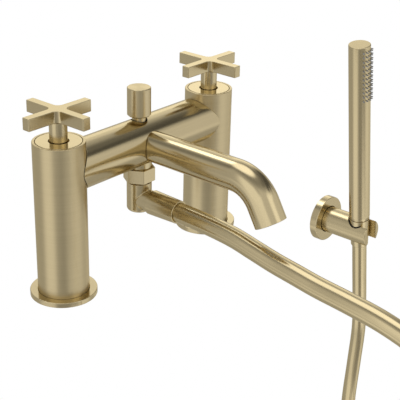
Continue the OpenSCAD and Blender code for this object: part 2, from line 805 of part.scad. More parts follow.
module diverter_sleeve() {
    window_z = low_seat_z + low_seat_t + clear;
    window_h = top_seat_z - clear - window_z;
    color(raw_brass) difference() {
        raised(low_seat_z) cylinder(r = sleeve_r, h = sleeve_top_z - low_seat_z);
        raised(low_seat_z - cut) cylinder(d = diverter_seat_dia, h = sleeve_top_z);
        raised(low_seat_z + low_seat_t) cylinder(
            r = sleeve_bore_r, h = top_seat_z - low_seat_z - low_seat_t);
        raised(top_seat_z + top_seat_t) cylinder(r = sleeve_bore_r, h = sleeve_top_z);
        translate([-sleeve_dia, -stem_dia, window_z]) cube([2 * sleeve_dia, 2 * stem_dia, window_h]);
        raised(feed_z) to_front() cylinder(r = feed_r + snug, h = sleeve_dia);
    }
}

module diverter_bush() {
    groove_h = o_ring_t + 2 * snug;
    color(raw_brass) raised(bush_z) difference() {
        cylinder(r = sleeve_bore_r - snug, h = bush_t);
        raised(-cut) cylinder(r = stem_dia / 2 + run_fit, h = bush_t + 2 * cut);
        raised((bush_t - groove_h) / 2)
            cylinder(r = stem_dia / 2 + run_fit + o_ring_t + snug, h = groove_h);
    }
}

module diverter_o_ring() {
    color(black_rubber) raised(bush_z + bush_t / 2) rotate_extrude()
        translate([stem_dia / 2 + run_fit + o_ring_t / 2, 0]) circle(d = o_ring_t);
}

module diverter_stem() {
    color(raw_brass) {
        raised(low_washer_z + snug) cylinder(d = stud_dia, h = diverter_washer_t);
        raised(diverter_plate_z) cylinder(d = diverter_plate_dia, h = diverter_plate_t);
        raised(diverter_plate_z) cylinder(d = stem_dia, h = stem_top_z - diverter_plate_z);
    }
}

module diverter_washers() {
    color(black_rubber) {
        raised(low_washer_z) ring(diverter_plate_dia / 2, stud_dia / 2 + snug, diverter_washer_t);
        raised(top_washer_z) ring(diverter_plate_dia / 2, stem_dia / 2 + snug, diverter_washer_t);
    }
}

module diverter_spring_ring() {
    color(steel) raised(spring_ring_z) ring(spring_ring_dia / 2, stem_dia / 2 + snug, spring_ring_t);
}

module diverter_spring() {
    curl_rings = 8;
    wire_sides = 6;
    low = spring_ring_z + spring_ring_t + spring_wire / 2 + snug;
    rise = bush_z - spring_wire / 2 - snug - low;
    steps = spring_turns * curl_rings;
    path = [for (i = [0:steps]) let (turn = 360 * i / curl_rings)
        [spring_dia / 2 * cos(turn), spring_dia / 2 * sin(turn), low + rise * i / steps]];
    color(steel) sweep(path, spring_wire / 2, wire_sides, [0, 0, 1]);
}

module diverter_knob() {
    color(brass) difference() {
        union() {
            raised(neck_stem_z) cylinder(d = neck_stem_dia, h = neck_stem_h + knob_chamfer);
            raised(knob_z) rotate_extrude() polygon([
                [0, 0], [knob_dia / 2 - knob_chamfer, 0], [knob_dia / 2, knob_chamfer],
                [knob_dia / 2, knob_h - knob_chamfer / 2],
                [knob_dia / 2 - knob_chamfer / 2, knob_h], [0, knob_h]
            ]);
        }
        raised(neck_stem_z - cut)
            cylinder(r = stem_dia / 2 + snug, h = stem_top_z - neck_stem_z + cut + seam);
    }
}

module outlet_nipple() {
    shoulder_z = nut_top_z + seam;
    color(brass) difference() {
        union() {
            raised(nipple_z) cylinder(r = union_r, h = shoulder_z - nipple_z);
            raised(shoulder_z) cylinder(d = nipple_dia, h = low_seat_z - shoulder_z);
        }
        raised(nipple_z - cut) cylinder(d = nipple_bore, h = low_seat_z - nipple_z + 2 * cut);
    }
}

module union_nut() {
    corner_r = nut_af / 2 / cos(30);
    color(brass) difference() {
        intersection() {
            raised(nut_z) cylinder(r = corner_r, h = nut_h, $fn = 6);
            raised(nut_z) rotate_extrude() polygon([
                [0, 0], [corner_r - nut_chamfer, 0], [corner_r, nut_chamfer / 2],
                [corner_r, nut_h - nut_chamfer / 2], [corner_r - nut_chamfer, nut_h], [0, nut_h]
            ]);
        }
        raised(nut_z - cut) cylinder(r = elbow_neck_dia / 2 + snug, h = nut_h + 2 * cut);
        raised(nut_z + nut_lip) cylinder(r = union_r + snug, h = nut_h);
    }
}

module union_washer() {
    color(black_rubber) raised(union_washer_z)
        ring(union_face_r, elbow_bore / 2 + 2 * seam, union_washer_t);
}

module elbow() {
    color(brass) difference() {
        union() {
            raised(outlet_z - elbow_base)
                turned(elbow_dia / 2, elbow_base + elbow_rise, 0, elbow_round);
            raised(outlet_z) cylinder(d = elbow_neck_dia, h = union_washer_z - outlet_z);
            raised(elbow_flange_z) cylinder(r = union_face_r, h = elbow_flange_t);
            raised(outlet_z) to_front() cylinder(d = side_arm_dia, h = side_arm_reach);
            raised(outlet_z) to_front() cylinder(r = hose_thread_r, h = hose_thread_end);
        }
        raised(outlet_z) cylinder(d = elbow_bore, h = nut_top_z - outlet_z);
        raised(outlet_z) to_front() cylinder(d = elbow_bore, h = hose_thread_end + cut);
    }
}

// Cone screwed on the elbow's thread, over the hose washer and the lower tail
module hose_connector() {
    color(brass) raised(outlet_z) to_front() raised(side_arm_reach + seam) difference() {
        cylinder(d1 = connector_dia, d2 = connector_end_dia, h = connector_len);
        raised(-cut) cylinder(r = hose_dia / 2 + hose_gap, h = connector_len + 2 * cut);
        raised(-cut) cylinder(
            r = hose_thread_r + snug, h = hose_start - side_arm_reach + cut);
    }
}

// Hose washer and flanged tail at the elbow
module lower_hose_tail() {
    color(raw_brass) raised(outlet_z) to_front() raised(hose_thread_end)
        ring(hose_thread_r - snug, tail_bore / 2, hose_washer_t + low_tail_t);
}

module shower_hose() {
    color(brass) sweep(hose_route, hose_dia / 2, hose_sides, [1, 0, 0]);
}

module holder_cover() {
    color(brass) at_seat() translate([0, seat_reach, 0]) to_front() difference() {
        turned(cover_dia / 2, cover_t, cover_edge);
        raised(-cut) cylinder(r = cover_dia / 2 - cover_rim, h = cover_t - cover_wall + cut);
        cylinder(r = arm_r + seam, h = cover_t + cut);
    }
}

module holder_mount() {
    color(steel) at_seat() translate([0, seat_reach, 0]) to_front() difference() {
        union() {
            cylinder(r = cover_dia / 2 - cover_rim - 2 * snug, h = mount_t);
            cylinder(r = boss_r, h = boss_len);
        }
        for (end = [-1, 1]) translate([end * screw_spacing / 2, 0, 0]) {
            raised(-cut) cylinder(d = screw_hole_dia, h = mount_t + 2 * cut);
            sink_h = (countersink_dia - screw_hole_dia) / 2;
            raised(mount_t - sink_h)
                cylinder(d1 = screw_hole_dia, d2 = countersink_dia, h = sink_h);
            raised(mount_t - snug) cylinder(d = countersink_dia, h = cut);
        }
    }
}

module arm_rod() {
    translate([0, -arm_front, 0]) to_back() cylinder(r = arm_r, h = arm_front + seat_reach - arm_back);
}

module holder_arm() {
    socket_len = boss_len - arm_back + seam;
    color(brass) leaned() difference() {
        arm_rod();
        seat_cone(clear + liner_t + snug);
        fork_slot();
        translate([0, seat_reach - arm_back + cut, 0]) to_front()
            cylinder(r = boss_r + snug, h = socket_len + cut);
        translate([0, seat_reach - holder_grub_at, 0]) rotate([180, 0, 0])
            cylinder(d = holder_grub_dia + 2 * snug, h = arm_dia);
    }
}

module seat_liner() {
    color(nylon) leaned() difference() {
        intersection() {
            arm_rod();
            seat_cone(clear + liner_t);
        }
        seat_cone(clear);
        fork_slot();
    }
}

module holder_grub_screw() {
    inner_end = boss_r + snug;
    length = arm_r - inner_end - 2 * seam;
    color(steel) leaned() translate([0, seat_reach - holder_grub_at, 0]) rotate([180, 0, 0])
        raised(inner_end) difference() {
            cylinder(d = holder_grub_dia, h = length);
            raised(length) hex_socket(holder_grub_dia / 2 * hex_key_share, length * hex_key_share);
        }
}

// Places its children at every nozzle, their Z pointing out of the handset
module at_nozzles() {
    middle = (nozzle_columns - 1) / 2;
    for (row = [0:nozzle_rows - 1], column = [0:nozzle_columns - 1])
        raised(last_row + row * row_pitch) rotate((column - middle) * column_step) to_front()
            children();
}

// Sector of a round bar in front of the handset's axis
module front_sector(r, half_angle, height) {
    reach = 2 * r;
    linear_extrude(height) intersection() {
        circle(r = r);
        polygon([
            [0, 0], [-reach * sin(half_angle), -reach * cos(half_angle)],
            [-reach * sin(half_angle / 2), -reach * cos(half_angle / 2)], [0, -reach],
            [reach * sin(half_angle / 2), -reach * cos(half_angle / 2)],
            [reach * sin(half_angle), -reach * cos(half_angle)]
        ]);
    }
}

module handset_body() {
    color(brass) leaned() difference() {
        raised(cone_rise) union() {
            cylinder(r1 = handset_r - foot_taper_w, r2 = handset_r, h = foot_taper_h);
            raised(foot_taper_h) turned(handset_r, handset_len - foot_taper_h, handset_edge);
        }
        raised(cone_rise - cut) cylinder(r = handset_bore_r, h = handset_ceiling - cone_rise + cut);
        at_nozzles() cylinder(d = nozzle_dia + 2 * seam, h = handset_dia, $fn = small_sides);
    }
}

module handset_inlet() {
    color(raw_brass) leaned() difference() {
        union() {
            raised(inlet_end) cylinder(d = inlet_thread_dia, h = inlet_thread_len);
            raised(cone_rise) cylinder(r = handset_bore_r - snug, h = inlet_plug);
        }
        raised(inlet_end - cut) cylinder(d = inlet_bore, h = handset_len);
    }
}

// Plastic tube up the handset, with the head that feeds the nozzle strip
module handset_waterway() {
    tube_z = cone_rise + inlet_plug;
    bore_r = waterway_dia / 2 - waterway_wall;
    insert_h = handset_ceiling - insert_end - seam;
    strip_h = handset_ceiling - strip_end - seam;
    color(white_plastic) leaned() difference() {
        union() {
            raised(tube_z) cylinder(d = waterway_dia, h = insert_end - tube_z + cut);
            raised(insert_end) cylinder(r = strip_r, h = insert_h);
        }
        raised(tube_z - cut) cylinder(r = bore_r, h = handset_ceiling - tube_z - strip_margin);
        raised(strip_end - snug) difference() {
            front_sector(strip_r + cut, strip_half_angle, strip_h + cut);
            raised(-cut) cylinder(r = strip_r - strip_t - plenum, h = strip_h + 3 * cut);
        }
        translate([-bore_r / 2, -strip_r, last_row])
            cube([bore_r, strip_r, (nozzle_rows - 1) * row_pitch]);
    }
}

module nozzle_strip() {
    strip_h = handset_ceiling - strip_end - seam;
    base_r = strip_r - strip_t / 2;
    color(grey_rubber) leaned() difference() {
        union() {
            raised(strip_end) difference() {
                front_sector(strip_r, strip_half_angle - strip_side_gap, strip_h);
                raised(-cut) cylinder(r = strip_r - strip_t, h = strip_h + 2 * cut);
            }
            at_nozzles() {
                raised(base_r) cylinder(d = nozzle_dia, h = handset_r - base_r, $fn = small_sides);
                raised(handset_r) cylinder(
                    d1 = nozzle_dia, d2 = nozzle_tip_dia, h = nozzle_h, $fn = small_sides);
            }
        }
        at_nozzles() cylinder(d = nozzle_bore, h = handset_dia, $fn = small_sides);
    }
}

module cone_nut() {
    color(brass) leaned() difference() {
        raised(-cone_drop) cylinder(d1 = cone_end_dia, d2 = cone_top_dia, h = cone_drop + cone_rise - seam);
        raised(cone_washer_at) cylinder(d = inlet_thread_dia + 2 * snug, h = cone_rise);
        raised(cone_lip_top) cylinder(d = tail_flange_dia + 4 * clear, h = cone_rise);
        raised(cone_lip_end - cut) cylinder(d = tail_dia + 2 * run_fit, h = cone_rise);
        raised(-cone_drop - cut) cylinder(r = nut_bore_r, h = cone_drop + cut + cone_lip_end);
    }
}

module handset_washer() {
    color(black_rubber) leaned() raised(cone_washer_at)
        ring(inlet_thread_dia / 2 - washer_play, inlet_bore / 2 + snug, cone_washer_t);
}

module upper_hose_tail() {
    color(raw_brass) leaned() difference() {
        union() {
            raised(tail_flange_at) cylinder(d = tail_flange_dia, h = tail_flange_t);
            raised(tail_end) cylinder(d = tail_dia, h = tail_len - seam);
        }
        raised(tail_end - cut) cylinder(d = tail_bore, h = tail_len + 2 * cut);
    }
}

pillar(left);  // left_pillar
base_flange(left);  // left_base_flange
base_seal(left);  // left_base_seal
inlet_bush(left);  // left_inlet_bush
valve_block(left);  // left_valve_block
cartridge_seal(left);  // left_cartridge_seal
cartridge_body(left);  // left_cartridge_body
fixed_disc(left);  // left_fixed_disc
moving_disc(left);  // left_moving_disc
spindle(left);  // left_spindle
top_plate(left);  // left_top_plate
handle_collar(left);  // left_handle_collar
cross_handle(left);  // left_cross_handle
grub_screw(left);  // left_grub_screw
pillar(right);  // right_pillar
base_flange(right);  // right_base_flange
base_seal(right);  // right_base_seal
inlet_bush(right);  // right_inlet_bush
valve_block(right);  // right_valve_block
cartridge_seal(right);  // right_cartridge_seal
cartridge_body(right);  // right_cartridge_body
fixed_disc(right);  // right_fixed_disc
moving_disc(right);  // right_moving_disc
spindle(right);  // right_spindle
top_plate(right);  // right_top_plate
handle_collar(right);  // right_handle_collar
cross_handle(right);  // right_cross_handle
grub_screw(right);  // right_grub_screw
bridge();
spout();
spout_feed();
aerator_housing();
aerator_insert();
diverter_sleeve();
diverter_bush();
diverter_o_ring();
diverter_stem();
diverter_washers();
diverter_spring_ring();
diverter_spring();
diverter_knob();
outlet_nipple();
union_nut();
union_washer();
elbow();
hose_connector();
lower_hose_tail();
shower_hose();
holder_cover();
holder_mount();
holder_arm();
holder_grub_screw();
seat_liner();
handset_body();
handset_inlet();
handset_waterway();
nozzle_strip();
cone_nut();
handset_washer();
upper_hose_tail();
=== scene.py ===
import math

import bmesh
import bpy
from mathutils import Matrix, Vector


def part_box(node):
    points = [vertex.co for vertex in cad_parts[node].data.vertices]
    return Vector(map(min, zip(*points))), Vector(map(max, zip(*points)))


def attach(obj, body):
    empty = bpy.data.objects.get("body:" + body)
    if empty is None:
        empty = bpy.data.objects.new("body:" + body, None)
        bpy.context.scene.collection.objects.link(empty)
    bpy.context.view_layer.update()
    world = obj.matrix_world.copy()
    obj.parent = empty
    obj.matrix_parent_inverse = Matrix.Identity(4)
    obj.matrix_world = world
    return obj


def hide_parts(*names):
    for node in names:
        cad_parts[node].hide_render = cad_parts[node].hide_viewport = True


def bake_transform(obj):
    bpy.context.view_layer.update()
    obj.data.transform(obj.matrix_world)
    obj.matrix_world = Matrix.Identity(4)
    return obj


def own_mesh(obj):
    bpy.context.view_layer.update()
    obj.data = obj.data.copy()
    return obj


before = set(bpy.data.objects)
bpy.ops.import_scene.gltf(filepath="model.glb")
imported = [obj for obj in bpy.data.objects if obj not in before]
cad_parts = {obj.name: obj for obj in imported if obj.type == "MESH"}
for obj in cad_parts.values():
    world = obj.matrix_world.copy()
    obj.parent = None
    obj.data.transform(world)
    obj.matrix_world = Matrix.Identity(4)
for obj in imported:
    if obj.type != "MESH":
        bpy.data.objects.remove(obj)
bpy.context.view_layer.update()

MM = 0.001
QUARTER = math.pi / 2


# Places, in the CAD's frame

def at(x, y, z):
    """Move by millimetres."""
    return Matrix.Translation(Vector((x, y, z)) * MM)


TO_FRONT = Matrix.Rotation(QUARTER, 4, "X")
TAP_X = 90
PILLAR_H = 133
BRIDGE_Z = 107
BRIDGE_R = 20
PILLAR_R = 21
GAP = 0.05
OUTLET_Z = 55.5
SEAT = (370, -5, -107.5)
LEAN = math.radians(9)
WALL_REACH = 52
LEANED = at(*SEAT) @ Matrix.Rotation(-LEAN, 4, "Y")

# Heights on the seat's leaning axis: the cone's ends and the hose's upper end
CONE_LOW = -19.2
CONE_HIGH = 17.5
TAIL_END = -8


def seat_point(height):
    """Point on the leaning axis of the handset's seat."""
    return (
        SEAT[0] - height * math.sin(LEAN),
        SEAT[1],
        SEAT[2] + height * math.cos(LEAN),
    )


# Camera: the photograph's viewpoint

AZIMUTH, ELEVATION, ROLL = (math.radians(a) for a in (-50.23, 24.56, 1.42))
CAMERA_PLACE = (-591.03, -560.14, 425.4)
SENSOR_WIDTH = 36
FOCAL_PIXELS = 1035.39
PICTURE_PIXELS = 400
back = Vector((
    math.sin(AZIMUTH) * math.cos(ELEVATION),
    -math.cos(AZIMUTH) * math.cos(ELEVATION),
    math.sin(ELEVATION),
))
right = Vector((math.cos(AZIMUTH), math.sin(AZIMUTH), 0))
up = back.cross(right)
camera_x = right * math.cos(ROLL) + up * math.sin(ROLL)
camera_y = up * math.cos(ROLL) - right * math.sin(ROLL)
camera_data = bpy.data.cameras.new("camera")
camera_data.sensor_width = SENSOR_WIDTH
camera_data.lens = SENSOR_WIDTH * FOCAL_PIXELS / PICTURE_PIXELS
camera_data.clip_start = 0.05
camera_data.clip_end = 20
camera = bpy.data.objects.new("camera", camera_data)
bpy.context.scene.collection.objects.link(camera)
camera.matrix_world = at(*CAMERA_PLACE) @ Matrix((camera_x, camera_y, back)).transposed().to_4x4()
bpy.context.scene.camera = camera


# Node materials

class Nodes:
    """Shorthand for building one node tree."""

    def __init__(self, tree):
        self.tree = tree
        tree.nodes.clear()

    def put(self, socket, value):
        """Sets an input, or links it to the output that is given as its value."""
        if isinstance(value, bpy.types.NodeSocket):
            self.tree.links.new(value, socket)
        else:
            socket.default_value = value

    def add(self, kind, **values):
        """Node with its p_ properties, its numbered inputs i0, i1 and on, and its named inputs."""
        node = self.tree.nodes.new("ShaderNode" + kind)
        for key, value in values.items():
            if key.startswith("p_"):
                setattr(node, key[2:], value)
        for key, value in values.items():
            if not key.startswith("p_"):
                self.put(node.inputs[int(key[1:]) if key[1:].isdigit() else key], value)
        return node

    def math(self, operation, a, b=0.0):
        return self.add("Math", p_operation=operation, i0=a, i1=b).outputs[0]

    def shared(self, a, share, b):
        """Sum of a, by its share, and b, by the rest."""
        return self.math("ADD", self.math("MULTIPLY", a, share), self.math("MULTIPLY", b, 1 - share))

    def scaled(self, vector, scale):
        return self.add("Mapping", Vector=vector, Scale=scale).outputs[0]

    def noise(self, vector, detail, scale=1.0, roughness=0.5):
        return self.add(
            "TexNoise", Vector=vector, Scale=scale, Detail=detail, Roughness=roughness
        ).outputs["Fac"]

    def spread(self, value, low, high, to_low=0.0, to_high=1.0, kind="LINEAR"):
        """Value carried from one range to another, and held at its ends."""
        return self.add("MapRange", Value=value, p_interpolation_type=kind, **{
            "From Min": low, "From Max": high, "To Min": to_low, "To Max": to_high,
        }).outputs[0]

    def mix(self, factor, a, b):
        """Colour between a and b."""
        return self.add("Mix", p_data_type="RGBA", i0=factor, i6=a, i7=b).outputs[2]


def rgba(r, g, b):
    return (r, g, b, 1.0)


def new_material(name):
    material = bpy.data.materials.new(name)
    material.use_nodes = True
    return material, Nodes(material.node_tree)


def finish_material(n, shader):
    n.add("OutputMaterial", Surface=shader.outputs[0])


EDGE_TINT = (0.95, 0.895, 0.745)


def brushed(name, light, dark, rough, depth, fine=2600, wide=650, stretch=0.5, grain=0.03):
    """Metal with brush lines that run along the U of its map, which is in metres.

    fine and wide are the lines' and the bands' scales, depth their bump, grain their roughness.
    """
    material, n = new_material(name)
    uv = n.add("UVMap").outputs[0]
    place = n.add("TexCoord").outputs["Object"]
    lines = n.noise(n.scaled(uv, (2.5, fine, 1)), detail=3, roughness=0.6)
    bands = n.noise(n.scaled(uv, (1.2, wide, 1)), detail=2)
    cloud = n.noise(place, scale=26, detail=3)
    mark = n.shared(lines, 0.6, bands)
    tone = n.shared(mark, 0.75, cloud)
    colour = n.mix(n.spread(tone, 0.3, 0.7), rgba(*dark), rgba(*light))
    brush = n.spread(mark, 0.3, 0.7, rough - grain, rough + grain)
    roughness = n.math("ADD", brush, n.spread(cloud, 0, 1, -0.01, 0.01))
    bump = n.add("Bump", Strength=depth, Distance=0.00008, Height=mark).outputs[0]
    tangent = n.add("Tangent", p_direction_type="UV_MAP").outputs[0]
    shader = n.add("BsdfPrincipled", Metallic=1.0, Roughness=roughness, Normal=bump)
    n.tree.links.new(colour, shader.inputs["Base Color"])
    shader.inputs["Specular Tint"].default_value = rgba(*EDGE_TINT)
    shader.inputs["Anisotropic"].default_value = stretch
    shader.inputs["Anisotropic Rotation"].default_value = 0.25
    n.tree.links.new(tangent, shader.inputs["Tangent"])
    finish_material(n, shader)
    return material


def machined(name, light, dark, rough):
    """Turned or ground metal without a map: fine rings in the object's own height."""
    material, n = new_material(name)
    place = n.add("TexCoord").outputs["Object"]
    rings = n.noise(n.scaled(place, (60, 60, 2600)), detail=2)
    cloud = n.noise(place, scale=90, detail=4)
    tone = n.shared(rings, 0.5, cloud)
    colour = n.mix(n.spread(tone, 0.35, 0.65), rgba(*dark), rgba(*light))
    roughness = n.spread(tone, 0.3, 0.7, rough - 0.06, rough + 0.08)
    bump = n.add("Bump", Strength=0.2, Distance=0.00005, Height=tone).outputs[0]
    shader = n.add("BsdfPrincipled", Metallic=1.0, Roughness=roughness, Normal=bump)
    n.tree.links.new(colour, shader.inputs["Base Color"])
    finish_material(n, shader)
    return material


def moulded(name, light, dark, rough, depth=0.25, shine=0.5):
    """Moulded rubber, plastic or ceramic: a fine skin grain and faint flow marks."""
    material, n = new_material(name)
    place = n.add("TexCoord").outputs["Object"]
    grain = n.noise(place, scale=2200, detail=3, roughness=0.6)
    flow = n.noise(n.scaled(place, (120, 120, 40)), detail=2)
    tone = n.shared(grain, 0.4, flow)
    colour = n.mix(n.spread(tone, 0.35, 0.65), rgba(*dark), rgba(*light))
    roughness = n.spread(grain, 0.3, 0.7, rough - 0.05, rough + 0.07)
    bump = n.add("Bump", Strength=depth, Distance=0.00006, Height=grain).outputs[0]
    shader = n.add("BsdfPrincipled", Roughness=roughness, Normal=bump)
    shader.inputs["Specular IOR Level"].default_value = shine
    n.tree.links.new(colour, shader.inputs["Base Color"])
    finish_material(n, shader)
    return material


BRASS_LIGHT = (0.592, 0.491, 0.293)
BRASS_DARK = (0.552, 0.457, 0.271)
STREAK_LIGHT = (0.635, 0.528, 0.316)
STREAK_DARK = (0.505, 0.416, 0.243)
PILLAR_LIGHT = (0.604, 0.501, 0.299)
PILLAR_DARK = (0.540, 0.447, 0.265)
satin = brushed("satin_brass", PILLAR_LIGHT, PILLAR_DARK, 0.33, fine=700, wide=240, depth=0.006)
arm_satin = brushed(
    "arm_satin_brass", STREAK_LIGHT, STREAK_DARK, 0.25,
    fine=450, wide=150, depth=0.004, stretch=0.0, grain=0.015,
)
smooth_satin = brushed(
    "smooth_satin_brass", BRASS_LIGHT, BRASS_DARK, 0.17, depth=0.006, stretch=0.0, grain=0.015
)
fine_satin = brushed(
    "fine_satin_brass", BRASS_LIGHT, BRASS_DARK, 0.2, fine=3500, depth=0.008, grain=0.02
)
plate_satin = brushed(
    "plate_satin_brass", BRASS_LIGHT, BRASS_DARK, 0.14,
    fine=3500, depth=0.008, stretch=0.3, grain=0.02,
)
hose_skin = brushed(
    "hose_skin", STREAK_LIGHT, STREAK_DARK, 0.19,
    fine=420, wide=120, depth=0.004, stretch=0.0, grain=0.02,
)
elbow_satin = brushed(
    "elbow_satin_brass", STREAK_LIGHT, STREAK_DARK, 0.25, fine=900, wide=300, depth=0.006
)
cone_satin = brushed(
    "cone_satin_brass", STREAK_LIGHT, STREAK_DARK, 0.2, fine=700, wide=240, depth=0.006, stretch=0.2
)
handset_satin = brushed(
    "handset_satin_brass", BRASS_LIGHT, BRASS_DARK, 0.22,
    fine=700, wide=240, depth=0.004, stretch=0.0, grain=0.015,
)
cover_satin = brushed(
    "cover_satin_brass", BRASS_LIGHT, BRASS_DARK, 0.19,
    fine=900, wide=300, depth=0.004, stretch=0.0, grain=0.015,
)
knob_satin = brushed(
    "knob_satin_brass", BRASS_LIGHT, BRASS_DARK, 0.3, fine=3500, depth=0.008, grain=0.02
)
turned_brass = machined("turned_brass", (0.72, 0.56, 0.27), (0.58, 0.43, 0.19), rough=0.3)
steel = machined("steel", (0.62, 0.62, 0.62), (0.48, 0.48, 0.49), rough=0.33)
black_rubber = moulded("black_rubber", (0.035, 0.035, 0.035), (0.02, 0.02, 0.02), 0.6)
grey_rubber = moulded("grey_rubber", (0.34, 0.335, 0.32), (0.25, 0.245, 0.235), 0.5)
black_nylon = moulded("black_nylon", (0.022, 0.02, 0.017), (0.014, 0.013, 0.011), 0.5, shine=0.1)
white_plastic = moulded("white_plastic", (0.78, 0.78, 0.76), (0.70, 0.70, 0.68), 0.35)
ceramic = moulded("ceramic", (0.82, 0.80, 0.76), (0.76, 0.74, 0.70), 0.22, depth=0.06)


# Mesh building, in millimetres

SHARP = math.radians(38)
ROUND_STEPS = [QUARTER * k / 4 for k in range(5)]


def circle(steps):
    """Angles once round, from the lowest point."""
    return [-QUARTER + 2 * math.pi * k / steps for k in range(steps)]


def turned(x, y, angle):
    """Point of a plane turned round the origin."""
    return Vector((
        x * math.cos(angle) - y * math.sin(angle),
        x * math.sin(angle) + y * math.cos(angle),
    ))


def rounded(corners, segments=5, loop=True):
    """Profile whose corners (r, z, radius) are rounded; two numbers are a sharp corner."""
    points = []
    last = len(corners) - 1
    for i, corner in enumerate(corners):
        here = Vector(corner[:2])
        radius = corner[2] if len(corner) > 2 else 0
        if radius <= 0 or (not loop and i in (0, last)):
            points.append(here)
            continue
        before = (Vector(corners[i - 1][:2]) - here).normalized()
        after = (Vector(corners[(i + 1) % (last + 1)][:2]) - here).normalized()
        half = before.angle(after) / 2
        centre = here + (before + after).normalized() * radius / math.sin(half)
        first = here + before * radius / math.tan(half) - centre
        turn = math.pi - 2 * half
        sense = 1 if first.x * (here - centre).y - first.y * (here - centre).x > 0 else -1
        steps = max(2, round(segments * turn / QUARTER))
        for k in range(steps + 1):
            a = sense * turn * k / steps
            points.append(centre + turned(first.x, first.y, a))
    return points


def skin(name, rings, loop=False, caps=False, lines="around"):
    """Mesh over closed rings of equally many points. Brush lines run around or along."""
    count = len(rings[0])
    rings = [[Vector(p) for p in ring] for ring in rings]
    girth = max(
        sum((ring[i] - ring[i - 1]).length for i in range(count)) for ring in rings
    )
    heights = [0.0]
    for j in range(1, len(rings) + 1):
        pair = rings[j - 1], rings[j % len(rings)]
        heights.append(heights[-1] + sum((a - b).length for a, b in zip(*pair)) / count)
    faces, uvs = [], []
    for j in range(len(rings) if loop else len(rings) - 1):
        k = (j + 1) % len(rings)
        for i in range(count):
            m = (i + 1) % count
            faces.append((j * count + i, j * count + m, k * count + m, k * count + i))
            u, v = girth * i / count, heights[j]
            u_next, v_next = girth * (i + 1) / count, heights[j + 1]
            quad = ((u, v), (u_next, v), (u_next, v_next), (u, v_next))
            uvs.extend(quad if lines == "around" else [(b, a) for a, b in quad])
    if caps:
        for ring, order in ((0, reversed(range(count))), (len(rings) - 1, range(count))):
            order = list(order)
            faces.append([ring * count + i for i in order])
            uvs.extend((rings[ring][i].x, rings[ring][i].y) for i in order)
    mesh = bpy.data.meshes.new(name)
    mesh.from_pydata([p * MM for ring in rings for p in ring], [], faces)
    layer = mesh.uv_layers.new(name="map")
    layer.data.foreach_set("uv", [c * MM for uv in uvs for c in uv])
    weld(mesh)
    return mesh


def weld(mesh):
    """Merges points that lie in one place."""
    work = bmesh.new()
    work.from_mesh(mesh)
    bmesh.ops.remove_doubles(work, verts=work.verts, dist=2e-7)
    work.to_mesh(mesh)
    work.free()


def lathe(name, corners, steps, seam=QUARTER, segments=5, lines="around"):
    """Turned piece round its own Z. The map's seam lies at the angle seam."""
    turns = [seam + 2 * math.pi * i / steps for i in range(steps)]
    rings = [
        [(p.x * math.cos(t), p.x * math.sin(t), p.y) for t in turns]
        for p in rounded(corners, segments)
    ]
    return skin(name, rings, loop=True, lines=lines)


def joined(name, meshes):
    """One mesh of several."""
    work = bmesh.new()
    for mesh in meshes:
        work.from_mesh(mesh)
    whole = bpy.data.meshes.new(name)
    work.to_mesh(whole)
    work.free()
    return whole


def smooth(mesh):
    """Smooth shading with sharp edges where the faces meet at more than SHARP."""
    mesh.shade_smooth()
    mesh.set_sharp_from_angle(angle=SHARP)


def piece(
    name, mesh, material, body, nodes, place=None, cutters=(), bevel=0.0
):
    """Object in its place, cut by the cutters, that rides on a body and stands for CAD nodes."""
    mesh.materials.append(material)
    obj = bpy.data.objects.new(name, mesh)
    bpy.context.scene.collection.objects.link(obj)
    if place is not None:
        obj.matrix_world = place
    if cutters:
        carve(obj, cutters)
    smooth(obj.data)
    if bevel:
        edge = obj.modifiers.new("edges", "BEVEL")
        edge.width = bevel * MM
        edge.segments = 2
        edge.limit_method = "ANGLE"
        edge.angle_limit = SHARP
        edge.use_clamp_overlap = False
    flat = obj.modifiers.new("normals", "WEIGHTED_NORMAL")
    flat.keep_sharp = True
    bpy.context.view_layer.update()
    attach(obj, body)
    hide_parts(*nodes)
    return obj


def carve(obj, cutters):
    """Takes the cutters' meshes, each with its place, out of the object."""
    tools = []
    for mesh, place in cutters:
        tool = bpy.data.objects.new("tool", mesh)
        bpy.context.scene.collection.objects.link(tool)
        tool.matrix_world = place
        tools.append(tool)
        cut = obj.modifiers.new("cut", "BOOLEAN")
        cut.operation = "DIFFERENCE"
        cut.solver = "EXACT"
        cut.object = tool
    bpy.context.view_layer.update()
    graph = bpy.context.evaluated_depsgraph_get()
    shaped = bpy.data.meshes.new_from_object(obj.evaluated_get(graph))
    obj.modifiers.clear()
    obj.data = shaped
    for tool in tools:
        bpy.data.objects.remove(tool)


# Hose, along the CAD's route

HOSE_R = 8.5
HOSE_START = -31
route = [
    (0, HOSE_START, OUTLET_Z), (0, -46, OUTLET_Z),
    (0, -66, 55), (0, -86, 54), (0, -106, 52), (0, -126, 48), (0, -146, 44),
    (0, -166, 41), (0, -186, 38), (0, -216, 35), (0, -246, 31), (0, -276, 23),
    (0, -304, 10), (1, -328, -9), (2, -347, -34), (4, -360, -65), (5, -367, -99),
    (6, -370, -136), (7, -370.8, -174), (8, -370.9, -212), (8, -370.9, -250),
    (12, -370, -298), (24, -365, -344), (44, -353, -386), (71, -331, -422),
    (103, -299, -451), (140, -259, -471), (179, -212, -479.7), (218, -164, -479.7),
    (257, -117, -471), (294, -77, -451), (326, -45, -422), (353, -23, -386),
    (373, -11, -344), (386, -6, -298), (391, -5, -250),
    seat_point(-100), seat_point(-60), seat_point(CONE_LOW), seat_point(TAIL_END),
]


